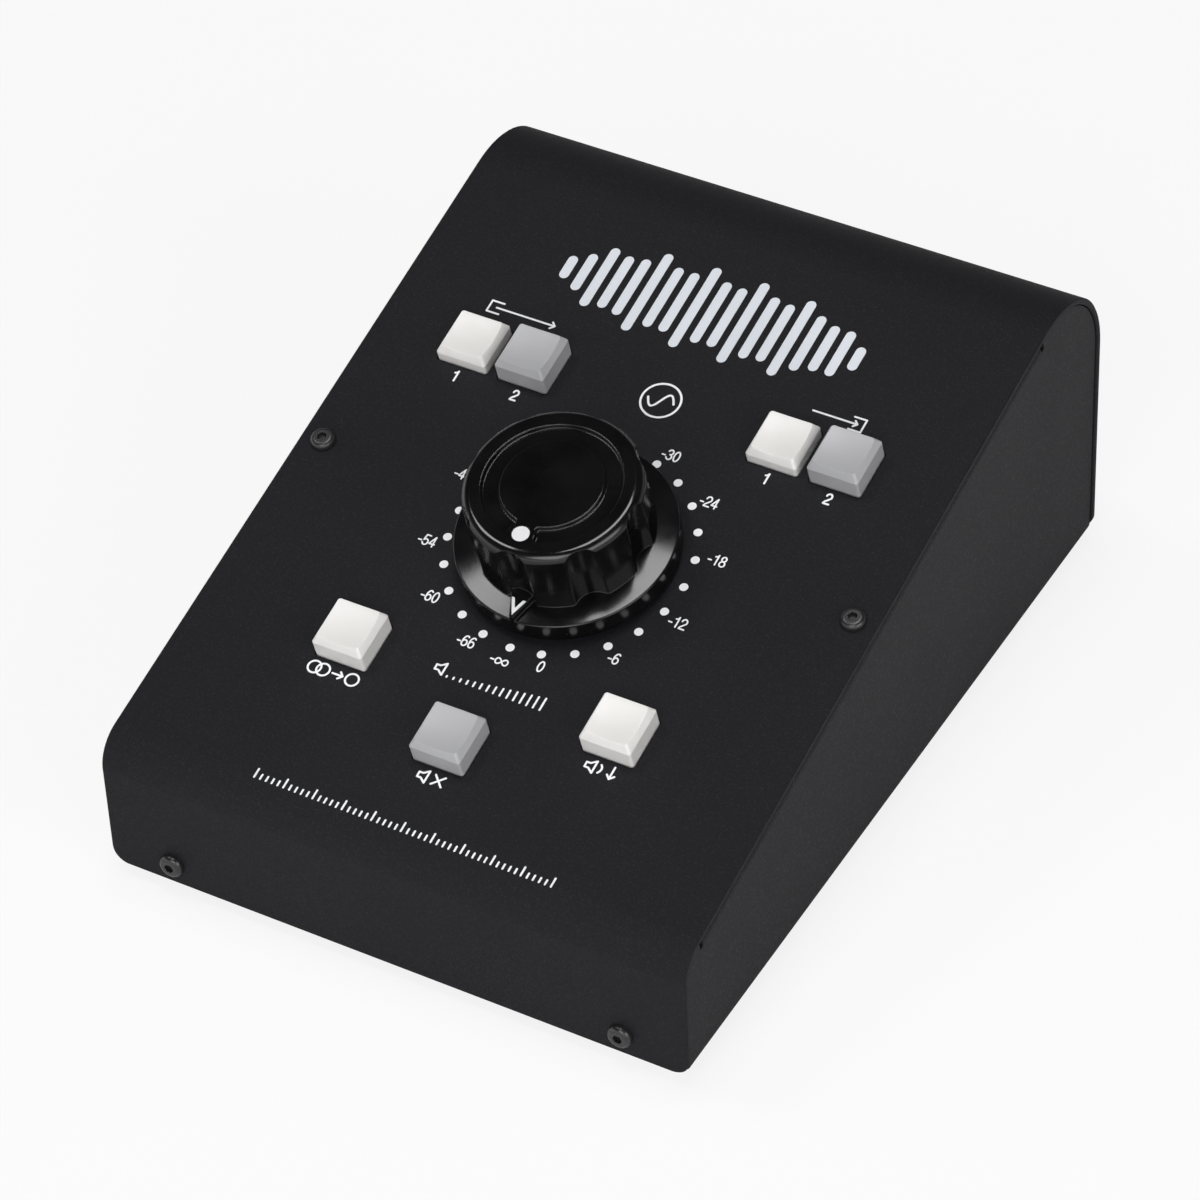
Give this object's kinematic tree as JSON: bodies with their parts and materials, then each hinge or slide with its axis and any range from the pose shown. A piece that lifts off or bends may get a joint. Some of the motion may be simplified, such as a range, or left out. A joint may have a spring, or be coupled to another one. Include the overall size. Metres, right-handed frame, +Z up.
{
  "type": "desktop monitor controller",
  "caption": "Sloped sheet-metal desktop box with a large fluted level knob, square latching push buttons on the panel and phone jacks on the rear wall.",
  "frame": {"origin": "on the surface the feet stand on, at the middle of the footprint, with the front screw heads and rear jack noses counted in", "axes": "+X to the right seen from the front, +Y from the low front wall to the tall rear wall, +Z up"},
  "size_m": [0.14, 0.1984, 0.0845],
  "materials": {
    "cover_paint": "fine-textured satin black powder coat",
    "base_paint": "fine-textured satin black powder coat",
    "black_screw": "black oxide",
    "zinc": "zinc plated",
    "rubber": "matt",
    "board": "green solder mask",
    "cap_white": "satin",
    "cap_grey": "satin",
    "stem_plastic": "satin",
    "switch_plastic": "satin",
    "attenuator_metal": "nickel plated",
    "attenuator_plastic": "satin",
    "brass": "turned",
    "knob_gloss": "polished black",
    "mark_white": "satin",
    "jack_plastic": "satin",
    "jack_nut": "nickel plated",
    "ribbon": "satin",
    "header_plastic": "satin"
  },
  "bodies": {
    "case": {"attenuator_frame": "attenuator_metal", "attenuator_housing": "attenuator_plastic", "attenuator_nut": "attenuator_metal", "attenuator_washer": "attenuator_metal", "base_chassis": "base_paint", "board_nuts": "zinc", "board_spacers": "zinc", "board_studs": "zinc", "clinch_nuts": "zinc", "control_board": "board", "foot_front_left": "rubber", "foot_front_right": "rubber", "foot_rear_left": "rubber", "foot_rear_right": "rubber", "foot_screws": "black_screw", "front_screws": "black_screw", "jack_board": "board", "jack_input_1_left": "jack_plastic", "jack_input_1_right": "jack_plastic", "jack_input_2_left": "jack_plastic", "jack_input_2_right": "jack_plastic", "jack_nuts": "jack_nut", "jack_output_1_left": "jack_plastic", "jack_output_1_right": "jack_plastic", "jack_output_2_left": "jack_plastic", "jack_output_2_right": "jack_plastic", "rear_screws": "black_screw", "ribbon_cable": "ribbon", "ribbon_headers": "header_plastic", "slope_screws": "black_screw", "switch_dim": "switch_plastic", "switch_input_1": "switch_plastic", "switch_input_2": "switch_plastic", "switch_mono": "switch_plastic", "switch_mute": "switch_plastic", "switch_output_1": "switch_plastic", "switch_output_2": "switch_plastic", "top_cover": "cover_paint"},
    "level_knob": {"knob": "knob_gloss", "knob_insert": "brass", "knob_set_screw": "black_screw", "knob_dot": "mark_white", "knob_mark": "mark_white", "attenuator_shaft": "attenuator_metal", "attenuator_rotor": "attenuator_plastic"},
    "button_output_1": {"cap_output_1": "cap_white", "stem_output_1": "stem_plastic"},
    "button_output_2": {"cap_output_2": "cap_grey", "stem_output_2": "stem_plastic"},
    "button_input_1": {"cap_input_1": "cap_white", "stem_input_1": "stem_plastic"},
    "button_input_2": {"cap_input_2": "cap_grey", "stem_input_2": "stem_plastic"},
    "button_mono": {"cap_mono": "cap_white", "stem_mono": "stem_plastic"},
    "button_mute": {"cap_mute": "cap_grey", "stem_mute": "stem_plastic"},
    "button_dim": {"cap_dim": "cap_white", "stem_dim": "stem_plastic"}
  },
  "joints": [
    {"name": "level_turn", "type": "hinge", "parent": "case", "child": "level_knob", "pos_m": [0, -0.01832, 0.05712], "axis": [0, -0.2588, 0.9659], "range_deg": [-345, 0]},
    {"name": "press_output_1", "type": "slide", "parent": "case", "child": "button_output_1", "axis": [0, -0.2588, 0.9659], "range_m": [-0.00085, 0.00215]},
    {"name": "press_output_2", "type": "slide", "parent": "case", "child": "button_output_2", "axis": [0, -0.2588, 0.9659], "range_m": [-0.003, 0], "stiffness_N_per_m": 500, "springref_m": 0.0005},
    {"name": "press_input_1", "type": "slide", "parent": "case", "child": "button_input_1", "axis": [0, -0.2588, 0.9659], "range_m": [-0.00085, 0.00215]},
    {"name": "press_input_2", "type": "slide", "parent": "case", "child": "button_input_2", "axis": [0, -0.2588, 0.9659], "range_m": [-0.003, 0], "stiffness_N_per_m": 500, "springref_m": 0.0005},
    {"name": "press_mono", "type": "slide", "parent": "case", "child": "button_mono", "axis": [0, -0.2588, 0.9659], "range_m": [-0.003, 0], "stiffness_N_per_m": 500, "springref_m": 0.0005},
    {"name": "press_mute", "type": "slide", "parent": "case", "child": "button_mute", "axis": [0, -0.2588, 0.9659], "range_m": [-0.003, 0], "stiffness_N_per_m": 500, "springref_m": 0.0005},
    {"name": "press_dim", "type": "slide", "parent": "case", "child": "button_dim", "axis": [0, -0.2588, 0.9659], "range_m": [-0.003, 0], "stiffness_N_per_m": 500, "springref_m": 0.0005}
  ]
}
